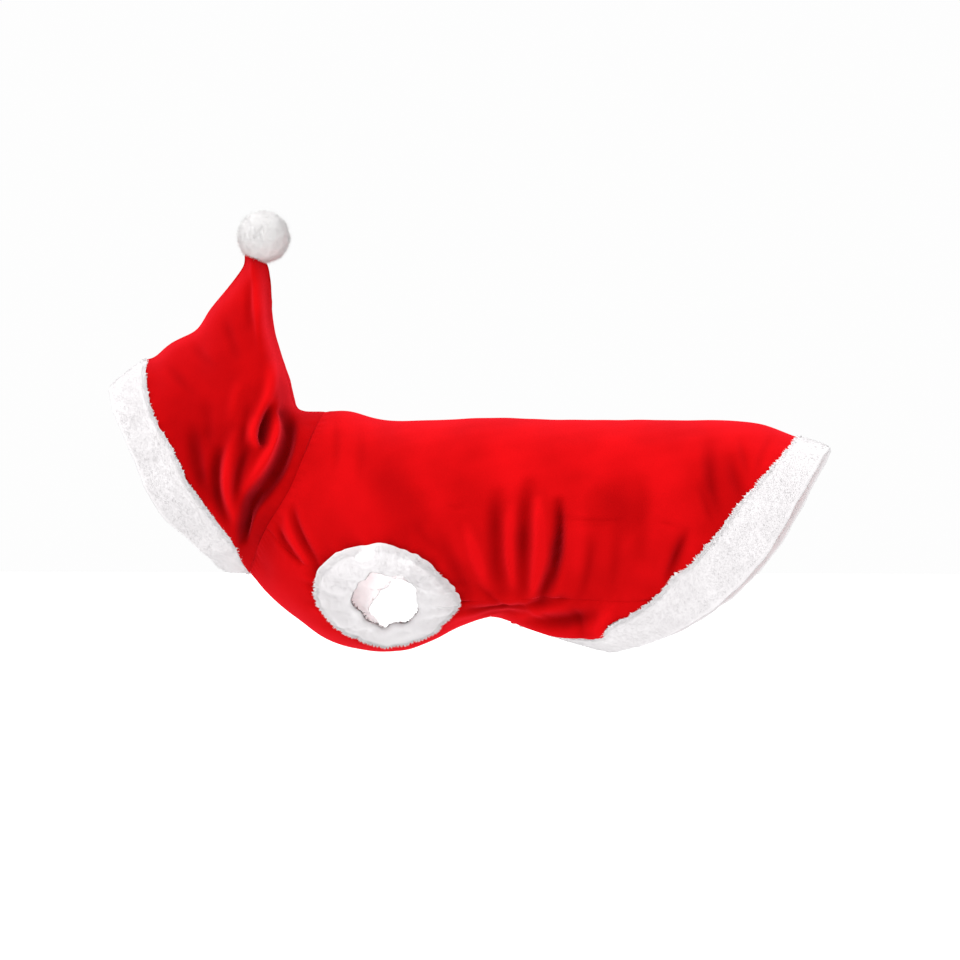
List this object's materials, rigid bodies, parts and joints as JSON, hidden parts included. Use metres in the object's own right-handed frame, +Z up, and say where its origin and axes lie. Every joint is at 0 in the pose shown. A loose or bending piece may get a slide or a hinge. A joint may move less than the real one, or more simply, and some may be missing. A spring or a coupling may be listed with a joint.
{
  "type": "hooded santa coat for a dog",
  "caption": "Hooded santa coat for a dog in velvet and white plush, in its worn hollow form: body tube, peaked hood with a pompom, plush face and hem bands and leg cuffs.",
  "frame": {"origin": "inside of the coat's back at the withers, on the middle line, where the wearer's back holds it up", "axes": "+X along the coat towards the hem, -X towards the face opening, +Z up, -Y the dog's left side"},
  "size_m": [0.6544, 0.1934, 0.398],
  "materials": {
    "velvet": "red knitted velvet with a short nap",
    "plush": "white long-pile plush"
  },
  "bodies": {
    "root": {"back_panel": "velvet", "belly_panel": "velvet", "hood_left": "velvet", "hood_right": "velvet", "face_band": "plush", "hem_band": "plush", "cuff_left": "plush", "cuff_right": "plush", "pompom": "plush"}
  },
  "joints": []
}
